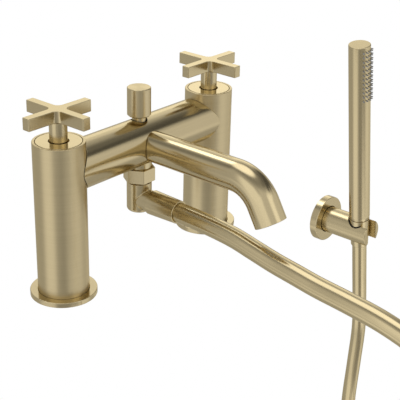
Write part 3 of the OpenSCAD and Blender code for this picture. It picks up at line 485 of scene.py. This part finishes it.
def curve_through(points, spacing=4.0):
    """Smooth curve through the points, as points about that far apart."""
    points = [Vector(p) for p in points]
    points = [2 * points[0] - points[1]] + points + [2 * points[-1] - points[-2]]
    made = []
    for i in range(1, len(points) - 2):
        a, b, c, d = points[i - 1:i + 3]
        ab, bc, cd = ((q - p).length ** 0.5 for p, q in ((a, b), (b, c), (c, d)))
        out = (b - a) / ab - (c - a) / (ab + bc) + (c - b) / bc
        into = (c - b) / bc - (d - b) / (bc + cd) + (d - c) / cd
        steps = max(2, round((c - b).length / spacing))
        for k in range(steps):
            t = k / steps
            made.append(
                b * (2 * t ** 3 - 3 * t ** 2 + 1) + c * (3 * t ** 2 - 2 * t ** 3)
                + out * bc * (t ** 3 - 2 * t ** 2 + t) + into * bc * (t ** 3 - t ** 2)
            )
    made.append(points[-2])
    return made


def tube(name, line, r, hint, steps=32):
    """Round bar along a line, with lengthwise brush lines. The line is never parallel to hint."""
    rings = []
    for i, point in enumerate(line):
        ahead = (line[min(i + 1, len(line) - 1)] - line[max(i - 1, 0)]).normalized()
        across = ahead.cross(hint).normalized()
        upward = across.cross(ahead)
        rings.append([point + r * (math.cos(a) * across + math.sin(a) * upward) for a in circle(steps)])
    return skin(name, rings, caps=True, lines="along")


hose_line = curve_through(route)
hose_mesh = tube("hose", hose_line, HOSE_R, Vector((1, 0, 0)))
hose_mesh.materials.append(hose_skin)
smooth(hose_mesh)
hose = bpy.data.objects.new("hose", hose_mesh)
bpy.context.scene.collection.objects.link(hose)
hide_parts("shower_hose")
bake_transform(hose)


# Taps

def cross_outline(span, width, fillet, corner, steps=6):
    """Plan of the cross, counterclockwise, with filleted inner and softened outer corners."""
    half, w = span / 2, width / 2
    arm = []
    for turn in range(4):
        a = turn * QUARTER
        spots = [
            ((w + fillet, -w - fillet), fillet, QUARTER, 1),
            ((half - corner, -w + corner), corner, -QUARTER, 0),
            ((half - corner, w - corner), corner, 0, 0),
        ]
        for (cx, cy), r, first, hollow in spots:
            for k in range(steps + 1):
                t = first + QUARTER * k / steps if not hollow else math.pi - QUARTER * k / steps
                x, y = cx + r * math.cos(t), cy + r * math.sin(t)
                arm.append(turned(x, y, a))
    return arm


def inset(outline, distance):
    """Outline moved inward by a small distance."""
    count = len(outline)
    moved = []
    for i, here in enumerate(outline):
        into, out = here - outline[i - 1], outline[(i + 1) % count] - here
        along = into.normalized() + out.normalized()
        moved.append(here + Vector((-along.y, along.x)).normalized() * distance)
    return moved


def slab(name, outline, low, high, edge):
    """Solid of that outline between two heights, its top and bottom edges rounded."""
    levels = [(edge * (1 - math.sin(a)), low + edge * (1 - math.cos(a))) for a in ROUND_STEPS]
    levels += [(d, low + high - z) for d, z in reversed(levels)]
    rings = [[(p.x, p.y, z) for p in inset(outline, d)] for d, z in levels]
    return skin(name, rings, caps=True)


PILLAR_BORE = 17.5
TUBE_LOW = 1.5
PLATE_LOW = 130.5
GRUB_Z = 139.25


def tap(side, word, body):
    """Outer pieces of the tap on one side. Its collar and its cross ride on body."""
    place = at(side * TAP_X, 0, 0)
    piece(word + "_pillar_tube", lathe(word + "_pillar_tube", [
        (PILLAR_BORE, TUBE_LOW), (PILLAR_R, TUBE_LOW, 0.2), (PILLAR_R, PILLAR_H, 0.5),
        (18.7, PILLAR_H, 0.3), (18.7, PLATE_LOW), (PILLAR_BORE, PLATE_LOW),
    ], steps=128), satin, "mixer", [word + "_pillar"], place)
    piece(word + "_foot", lathe(word + "_foot", [
        (PILLAR_BORE, 0), (22, 0), (22, 1.6), (24, 1.6), (24, 0), (27.5, 0, 0.3), (27.5, 4.3, 0.6),
        (21.25, 4.3, 0.2), (21.25, TUBE_LOW), (PILLAR_BORE, TUBE_LOW),
    ], steps=128), plate_satin, "mixer", [word + "_base_flange"], place)
    piece(word + "_plate", lathe(word + "_plate", [
        (8.25, PLATE_LOW), (18.25, PLATE_LOW), (18.25, PILLAR_H, 0.25), (8.25, PILLAR_H, 0.3),
    ], steps=128), plate_satin, "mixer", [word + "_top_plate"], place)
    grub_hole = lathe("hole", [(0, 0), (2.05, 0), (2.05, 16), (0, 16)], steps=24)
    piece(word + "_collar", lathe(word + "_collar", [
        (4.05, 131.5), (7.15, 131.5, 0.3), (7.15, 149.25, 0.35), (5.55, 149.25), (5.55, 146.4),
        (4.05, 146.4),
    ], steps=80), fine_satin, body, [word + "_handle_collar"], place,
        cutters=[(grub_hole, place @ at(0, 0, GRUB_Z) @ TO_FRONT.inverted())])
    outline = cross_outline(span=64.2, width=7.4, fillet=4.5, corner=0.8)
    spigot = lathe("spigot", [(0, 146.5), (5.5, 146.5, 0.2), (5.5, 150), (0, 150)], steps=48)
    piece(word + "_cross", joined(word + "_cross", [
        slab("arms", outline, low=149.5, high=159.4, edge=0.5), spigot,
    ]), fine_satin, body, [word + "_cross_handle"], place)


tap(-1, "left", "left_handle")
tap(1, "right", "right_handle")


# Bridge and spout

def bridge_ring(r, side, trim, steps=128):
    """Ring at one end of the bridge, on the pillar's surface, trimmed back a little."""
    ring = []
    for a in circle(steps):
        y = r * math.cos(a)
        reach = TAP_X - math.sqrt((PILLAR_R + GAP) ** 2 - y * y) - trim
        ring.append((side * reach, y, r * math.sin(a)))
    return ring


EDGE = 0.35
BRIDGE_BORE = 16.5

# Trimmed off the ends, so that each joint shows as a fine line
BRIDGE_STAND_OFF = 0.5
SPOUT_STAND_OFF = 0.3
edge_steps = [(EDGE * (1 - math.sin(a)), EDGE * (1 - math.cos(a))) for a in ROUND_STEPS]
outer = [bridge_ring(BRIDGE_R - d, -1, t + BRIDGE_STAND_OFF) for d, t in edge_steps]
outer += [bridge_ring(BRIDGE_R - d, 1, t + BRIDGE_STAND_OFF) for d, t in reversed(edge_steps)]
inner = [bridge_ring(BRIDGE_BORE, 1, BRIDGE_STAND_OFF), bridge_ring(BRIDGE_BORE, -1, BRIDGE_STAND_OFF)]
neck_hole = lathe("hole", [(0, 0), (7.1, 0), (7.1, 30), (0, 30)], steps=64)
piece(
    "bridge_tube", skin("bridge_tube", outer + inner, loop=True, lines="along"), smooth_satin,
    "mixer", ["bridge"], at(0, 0, BRIDGE_Z), cutters=[(neck_hole, at(0, 0, BRIDGE_Z))],
)

SPOUT_R = 13.1
SPOUT_BORE = 10.8
SPOUT_REACH = 140.4
BEND_R = 31.8
BEND = math.radians(60)
TAIL = 17
LIP = 0.4
STRAIGHT = SPOUT_REACH - BEND_R * math.sin(BEND) - TAIL * math.cos(BEND)


def spout_ring(r, way, trim=0.0, steps=96):
    """Ring of the spout at a way along its middle line; the first lies on the bridge."""
    ring = []
    a = min(max((way - STRAIGHT) / BEND_R, 0), BEND)
    beyond = max(way - STRAIGHT - BEND_R * BEND, 0)
    centre = Vector((0, -STRAIGHT - BEND_R * math.sin(a), BRIDGE_Z - BEND_R * (1 - math.cos(a))))
    centre += beyond * Vector((0, -math.cos(a), -math.sin(a)))
    outward = Vector((0, -math.sin(a), math.cos(a)))
    for t in circle(steps):
        point = centre + r * (math.cos(t) * Vector((1, 0, 0)) + math.sin(t) * outward)
        if way <= 0:
            point.y = -math.sqrt((BRIDGE_R + GAP) ** 2 - (r * math.sin(t)) ** 2) - trim
        elif way < STRAIGHT:
            point.y = -way
        ring.append(point)
    return ring


whole_way = STRAIGHT + BEND_R * BEND + TAIL
rings = [spout_ring(SPOUT_R - d, 0, t + SPOUT_STAND_OFF) for d, t in edge_steps]
rings.append(spout_ring(SPOUT_R, 30))
rings += [spout_ring(SPOUT_R, STRAIGHT - 0.01 + (BEND_R * BEND + 0.02) * k / 30) for k in range(31)]
for a in ROUND_STEPS:
    rings.append(spout_ring(SPOUT_R - LIP * (1 - math.cos(a)), whole_way - LIP * (1 - math.sin(a))))
for a in ROUND_STEPS:
    rings.append(spout_ring(SPOUT_BORE + LIP * (1 - math.sin(a)), whole_way - LIP * (1 - math.cos(a))))
rings += [spout_ring(SPOUT_BORE, STRAIGHT + BEND_R * BEND * (1 - k / 12)) for k in range(13)]
rings.append(spout_ring(SPOUT_BORE, 0, SPOUT_STAND_OFF))
piece("spout_tube", skin("spout_tube", rings, loop=True, lines="along"), smooth_satin, "mixer", ["spout"])

mouth = at(0, -SPOUT_REACH, BRIDGE_Z - BEND_R * (1 - math.cos(BEND)) - TAIL * math.sin(BEND))
mouth = mouth @ Matrix.Rotation(BEND - QUARTER, 4, "X")
piece("aerator_ring", lathe("aerator_ring", [
    (7.75, 0.5, 0.2), (10.75, 0.5, 0.3), (10.75, 9.5), (9.25, 9.5), (9.25, 2.5), (7.75, 2.5),
], steps=64), turned_brass, "mixer", ["aerator_housing"], mouth)


# Diverter knob

piece("knob", lathe("knob", [
    (2.55, 124.5), (5.9, 124.5, 0.2), (5.9, 130.5, 0.2), (9, 130.5, 0.2), (10, 131.5, 0.3),
    (10, 154.5, 0.25), (9.5, 155, 0.25), (0, 155), (0, 140.6), (2.55, 140.6),
], steps=96), knob_satin, "diverter", ["diverter_knob"])


# Return spring, coiled over the CAD spring's height

WIRE_R = 0.3
COIL_R = 4.2
COIL_TURNS = 4
COIL_STEPS = 24
spring_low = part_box("diverter_spring")[0][2] / MM
spring_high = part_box("diverter_spring")[1][2] / MM
coil = []
for k in range(COIL_TURNS * COIL_STEPS + 1):
    a = 2 * math.pi * k / COIL_STEPS
    share = k / (COIL_TURNS * COIL_STEPS)
    coil.append(Vector((
        COIL_R * math.cos(a), COIL_R * math.sin(a),
        spring_low + WIRE_R + (spring_high - spring_low - 2 * WIRE_R) * share,
    )))
spring = piece(
    "return_spring", tube("return_spring", coil, WIRE_R, Vector((0, 0, 1)), steps=12), steel, "mixer",
    ["diverter_spring"],
)
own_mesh(spring)


# Hose outlet

piece("outlet_collar", lathe("outlet_collar", [
    (7.5, 77.5), (10.4, 77.5, 0.3), (10.4, 85.1), (10.8, 85.1, 0.2), (10.8, 92.05), (7.5, 92.05),
], steps=80), fine_satin, "mixer", ["outlet_nipple"])

NUT_HALF_FLATS = 12.125


def hexagon(half_flats, corner, steps=5):
    """Outline of a hexagon with softened corners, one corner on the X axis."""
    centre_r = (half_flats - corner) / math.cos(math.radians(30))
    return [
        Vector((
            centre_r * math.cos(turn) + corner * math.cos(turn + lean),
            centre_r * math.sin(turn) + corner * math.sin(turn + lean),
        ))
        for turn in (math.radians(60 * k) for k in range(6))
        for lean in (math.radians(-30 + 60 * k / steps) for k in range(steps + 1))
    ]


def nut_rings(outline, low, high, chamfer, bore, thread, lip):
    """Rings of a nut: its chamfered flats, then back through its bore."""
    limit = NUT_HALF_FLATS / math.cos(math.radians(30)) - chamfer

    def cut_to(r):
        return [p * min(1, r / p.length) for p in outline]

    bevelled = [max(0.0, p.length - limit) / 2 for p in outline]
    flats = [(p.x, p.y) for p in outline]
    small = [(p.x, p.y) for p in cut_to(limit)]
    rings = [
        [(x, y, low) for x, y in small],
        [(x, y, low + d + 0.05) for (x, y), d in zip(flats, bevelled)],
        [(x, y, high - d - 0.05) for (x, y), d in zip(flats, bevelled)],
        [(x, y, high) for x, y in small],
    ]
    for r, z in ((thread, high), (thread, low + lip), (bore, low + lip), (bore, low)):
        rings.append([tuple(p.normalized() * r) + (z,) for p in outline])
    return rings


nut_outline = hexagon(NUT_HALF_FLATS, corner=0.5)
nut = nut_rings(nut_outline, low=72.3, high=85.0, chamfer=1.0, bore=8.05, thread=10.45, lip=2.5)
piece("hex_nut", skin("hex_nut", nut, loop=True), fine_satin, "mixer", ["union_nut"])

ELBOW_R = 10.8
ARM_R = 9.5
WELD = 0.5


def arm_start(r, away, steps=80):
    """Ring of the side arm on the elbow's body, moved out a little."""
    ring = []
    for t in circle(steps):
        x = r * math.cos(t)
        ring.append((x, -math.sqrt(ELBOW_R ** 2 - x * x) - away, OUTLET_Z + r * math.sin(t)))
    return ring


def arm_ring(r, y, steps=80):
    """Ring of the side arm further out."""
    return [(r * math.cos(t), y, OUTLET_Z + r * math.sin(t)) for t in circle(steps)]


arm = [
    arm_start(ARM_R + WELD * (1 - math.sin(a)), WELD * (1 - math.cos(a)) - 0.02) for a in ROUND_STEPS
]
arm += [arm_ring(p.x, p.y) for p in rounded([
    (ARM_R, -12.5), (ARM_R, -15.6, 0.3), (8.9, -15.6), (8.9, -26, 0.4), (6, -26), (6, -8),
], loop=False)]
elbow_body = lathe("elbow_body", [
    (0, 44.5), (ELBOW_R, 44.5, 3), (ELBOW_R, 70.9, 0.4), (8.05, 70.9), (8, 74.9), (10.2, 74.9),
    (10.2, 76), (6, 76), (6, OUTLET_Z), (0, OUTLET_Z),
], steps=96, segments=8)
elbow_mesh = joined("elbow_fitting", [elbow_body, skin("arm", arm, lines="along")])
piece("elbow_fitting", elbow_mesh, elbow_satin, "mixer", ["elbow"])

piece("hose_cone", lathe("hose_cone", [
    (8.95, 0), (10.7, 0, 0.45), (9.9, 30.3, 0.45), (8.6, 30.3, 0.2), (8.6, 15.4), (8.95, 15.4),
], steps=96, seam=-QUARTER, lines="along"), cone_satin, "mixer", ["hose_connector"],
      at(0, -15.7, OUTLET_Z) @ TO_FRONT)


# Wall holder

piece("wall_cover", lathe("wall_cover", [
    (22, 0), (27, 0, 0.3), (27, 9, 0.9), (16.25, 9, 0.2), (16.25, 6.5), (22, 6.5),
], steps=128, seam=-QUARTER, segments=6), cover_satin, "mixer", ["holder_cover"],
      at(SEAT[0], SEAT[1] + WALL_REACH, SEAT[2]) @ TO_FRONT)

CONE_R_LOW = 10
CONE_R_HIGH = 11.75
SEAT_GAP = 1.15
CUT_REACH = 31


def cone_r(height):
    """Radius of the cone nut at a height, carried on beyond its ends."""
    return CONE_R_LOW + (height - CONE_LOW) * (CONE_R_HIGH - CONE_R_LOW) / (CONE_HIGH - CONE_LOW)


cone_cut = lathe("cone_cut", [
    (0, -CUT_REACH), (cone_r(-CUT_REACH) + SEAT_GAP, -CUT_REACH),
    (cone_r(CUT_REACH) + SEAT_GAP, CUT_REACH), (0, CUT_REACH),
], steps=96)
slot_cut = slab("slot_cut", [Vector(p) for p in (
    (-9.65, -17.4), (9.65, -17.4), (9.65, 0), (-9.65, 0),
)], low=-CUT_REACH, high=CUT_REACH, edge=0.001)
grub_cut = lathe("grub_cut", [(0, 0), (2.55, 0), (2.55, CUT_REACH), (0, CUT_REACH)], steps=24)
arm_mesh = lathe("fork_arm", [
    (0, -29.9), (9.05, -29.9), (9.05, -47.2), (15.5, -47.2), (15.5, 16.4, 0.9), (0, 16.4),
], steps=128, seam=-QUARTER, segments=6, lines="along")
piece("fork_arm", arm_mesh, arm_satin, "mixer", ["holder_arm"], LEANED @ TO_FRONT, cutters=[
    (cone_cut, LEANED), (slot_cut, LEANED),
    (grub_cut, LEANED @ at(0, 38, 0) @ Matrix.Rotation(math.pi, 4, "X")),
], bevel=0.45)


# Handset

piece("handset_tube", lathe("handset_tube", [
    (10.5, 17.6), (11.5, 17.6, 0.2), (12, 21, 2.0), (12, 234.5, 1.0), (0, 234.5), (0, 231.5),
    (10.5, 231.5),
], steps=128, segments=6, lines="along"), handset_satin, "handset", ["handset_body"], LEANED)

piece("cone_nut_shell", lathe("cone_nut_shell", [
    (9, -19.2, 0.2), (10, -19.2, 0.5), (11.72, 16.9, 0.2), (10.25, 16.9), (10.25, 3.0), (8.1, 3.0),
    (8.1, -0.6), (6.06, -0.6), (6.06, -4.0), (9, -4.0),
], steps=96, lines="along"), handset_satin, "handset", ["cone_nut"], LEANED)


# Materials of the CAD nodes that stay

CAD_MATERIALS = [
    ("base_seal", black_rubber), ("inlet_bush", turned_brass), ("valve_block", turned_brass),
    ("cartridge_seal", black_rubber), ("cartridge_body", turned_brass), ("fixed_disc", ceramic),
    ("moving_disc", ceramic), ("spindle", turned_brass), ("grub_screw", steel),
    ("spout_feed", turned_brass), ("aerator_insert", white_plastic),
    ("diverter_sleeve", turned_brass), ("diverter_bush", turned_brass),
    ("diverter_o_ring", black_rubber), ("diverter_stem", turned_brass),
    ("diverter_washers", black_rubber), ("diverter_spring_ring", steel),
    ("union_washer", black_rubber), ("lower_hose_tail", turned_brass),
    ("upper_hose_tail", turned_brass), ("holder_mount", steel), ("seat_liner", black_nylon),
    ("handset_inlet", turned_brass), ("handset_waterway", white_plastic),
    ("nozzle_strip", grey_rubber), ("handset_washer", black_rubber),
]
for node_name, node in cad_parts.items():
    for ending, material in CAD_MATERIALS:
        if node_name.endswith(ending):
            for spot in node.material_slots:
                spot.material = material


# Studio

DEGREES_PER_RADIAN = 57.3
DIFFUSE_LEVEL = 0.8
CEILING_LEVEL = 1.75

# Brightness of the room at heights in degrees
ROOM_LEVELS = [
    (-90, 0.67), (-50, 0.52), (-8, 0.56), (25, 0.60), (44, 0.62), (52, 0.44), (62, 0.32), (90, 0.40),
]

# Cards that cover the room and each other in this order. In degrees: turn from the camera's side,
# half width, low edge and high edge, then brightness, and softness across and in height.
CARDS = [
    (-47, 23, -28, -4, 1.04, 22, 12),
    (-53, 29, -62, -31, 1.14, 24, 12),
    (-38, 22, -6, 38, 1.16, 14, 12),
    (67, 25, -8, 40, 1.35, 24, 12),
    (-10, 15, 0, 30, 1.18, 14, 12),
    (20, 20, 0, 46, 0.78, 14, 12),
    (28, 21, -26, -6, 0.38, 14, 12),
    (10, 26, -34, -23, 0.39, 14, 12),
    (4, 16, -60, -30, 0.38, 14, 12),
    (103, 28, -26, 24, 0.82, 14, 12),
    (82, 20, -32, -18, 1.05, 24, 12),
    (52, 24, -60, -32, 1.3, 18, 5),
    (37, 15, -30, -19, 0.32, 14, 6),
    (146, 14, -34, -12, 0.8, 14, 12),
    (-104, 15, 38, 57, 0.27, 14, 12),
    (112, 31, 33, 46, 0.1, 30, 6),
    (112, 31, 45, 58, 0.16, 30, 12),
    (78, 20, 50, 60, 0.22, 20, 12),
    (126, 18, 23, 40, 0.1, 10, 6),
    (138, 12, 11, 40, 0.12, 10, 12),
    (180, 21, 8, 28, 1.5, 14, 8),
    (-167, 9, 8, 26, 1.3, 8, 8),
    (182, 24, 28, 40, 1.05, 14, 8),
    (-148, 17, 46, 66, 1.0, 6, 4),
]


def studio_world():
    """Soft room: seen white by the camera, with darker walls in the metal."""
    world = bpy.data.worlds.new("studio")
    world.use_nodes = True
    n = Nodes(world.node_tree)
    way = n.add("TexCoord").outputs["Generated"]
    path = n.add("LightPath")
    height = n.math("ARCSINE", n.add("SeparateXYZ", Vector=way).outputs["Z"])
    height = n.math("MULTIPLY", height, DEGREES_PER_RADIAN)
    front = math.degrees(math.atan2(back.y, back.x))

    def toward(direction):
        """How far the ray goes in a direction."""
        dot = n.add("VectorMath", p_operation="DOT_PRODUCT", i0=way, i1=direction)
        return dot.outputs["Value"]

    def rise(value, start, end):
        """0 at start and before, 1 at end and beyond, whichever of the two is the larger."""
        low, high = min(start, end), max(start, end)
        falls = start > end
        return n.spread(value, low, high, 1 if falls else 0, 0 if falls else 1, "SMOOTHSTEP")

    def blended(level, factor, value):
        """Level moved toward a value by a factor."""
        return n.math("ADD", level, n.math("MULTIPLY", factor, n.math("SUBTRACT", value, level)))

    def card(level, turn, half, low, high, value, soft, soft_height):
        """Level covered by one softly edged card."""
        a = math.radians(front + turn)
        along = toward((math.cos(a), math.sin(a), 0))
        across = toward((-math.sin(a), math.cos(a), 0))
        off = n.math("ABSOLUTE", n.math("ARCTAN2", across, along))
        off = n.math("MULTIPLY", off, DEGREES_PER_RADIAN)
        edge, edge_height = soft / 2, soft_height / 2
        inside = rise(off, half + edge, half - edge)
        inside = n.math("MULTIPLY", inside, rise(height, low - edge_height, low + edge_height))
        inside = n.math("MULTIPLY", inside, rise(height, high + edge_height, high - edge_height))
        return blended(level, inside, value)

    ramp = n.add("ValToRGB", Fac=n.spread(height, -90, 90))
    elements = ramp.color_ramp.elements
    while len(elements) < len(ROOM_LEVELS):
        elements.new(0.5)
    for element, (angle, value) in zip(elements, ROOM_LEVELS):
        element.position = (angle + 90) / 180
        element.color = rgba(value, value, value)
    room = ramp.outputs[0]
    for entry in CARDS:
        room = card(room, *entry)
    tilt = math.radians(front - 150)
    overhead = toward((0.2 * math.cos(tilt), 0.2 * math.sin(tilt), 0.98))
    inside = rise(overhead, math.cos(math.radians(28)), math.cos(math.radians(17)))
    room = blended(room, inside, CEILING_LEVEL)
    mirrored = n.math("MAXIMUM", path.outputs["Is Glossy Ray"], path.outputs["Is Transmission Ray"])
    diffuse = n.math("MULTIPLY", n.math("SUBTRACT", 1.0, mirrored), DIFFUSE_LEVEL)
    level = n.math("ADD", n.math("MULTIPLY", mirrored, room), diffuse)
    level = blended(level, path.outputs["Is Camera Ray"], 1.0)
    light = n.add("Background", Color=rgba(1, 1, 1), Strength=level)
    n.add("OutputWorld", Surface=light.outputs[0])
    bpy.context.scene.world = world


FLOOR_CENTRE = (0.15, -0.1)
FLOOR_R = 0.9
FLOOR_LEVEL = -0.52


def pale_floor():
    """Floor below the hose: the camera and the metal see the room's white and cards there."""
    material, n = new_material("pale_floor")
    path = n.add("LightPath")
    grain = n.noise(n.add("TexCoord").outputs["Object"], scale=6, detail=3)
    colour = n.mix(n.spread(grain, 0.3, 0.7), rgba(0.80, 0.80, 0.79), rgba(0.84, 0.84, 0.83))
    matt = n.add("BsdfDiffuse", Color=colour)
    seen = n.math("MAXIMUM", path.outputs["Is Camera Ray"], path.outputs["Is Glossy Ray"])
    seen = n.math("MAXIMUM", seen, path.outputs["Is Transmission Ray"])
    clear = n.add("BsdfTransparent")
    both = n.add("MixShader", Fac=seen, i1=matt.outputs[0], i2=clear.outputs[0])
    finish_material(n, both)
    mesh = bpy.data.meshes.new("floor")
    mesh.from_pydata([
        (FLOOR_CENTRE[0] + FLOOR_R * math.cos(a), FLOOR_CENTRE[1] + FLOOR_R * math.sin(a), FLOOR_LEVEL)
        for a in (2 * math.pi * k / 64 for k in range(64))
    ], [], [list(range(64))])
    mesh.materials.append(material)
    floor = bpy.data.objects.new("floor", mesh)
    bpy.context.scene.collection.objects.link(floor)


def soft_lamp(name, place, target, width, height, power):
    """Lamp with a rectangular face, in metres and watts, that looks at the target."""
    data = bpy.data.lights.new(name, "AREA")
    data.shape = "RECTANGLE"
    data.size = width
    data.size_y = height
    data.energy = power
    lamp = bpy.data.objects.new(name, data)
    bpy.context.scene.collection.objects.link(lamp)
    aim = Vector(place) - Vector(target)
    lamp.matrix_world = Matrix.Translation(place) @ aim.to_track_quat("Z", "Y").to_matrix().to_4x4()


studio_world()
pale_floor()
soft_lamp(
    "overhead", place=(0.418, 1.198, 1.834), target=(0, -0.09, 0.1), width=0.72, height=0.43, power=2.0
)
bpy.context.scene.view_settings.view_transform = "Standard"
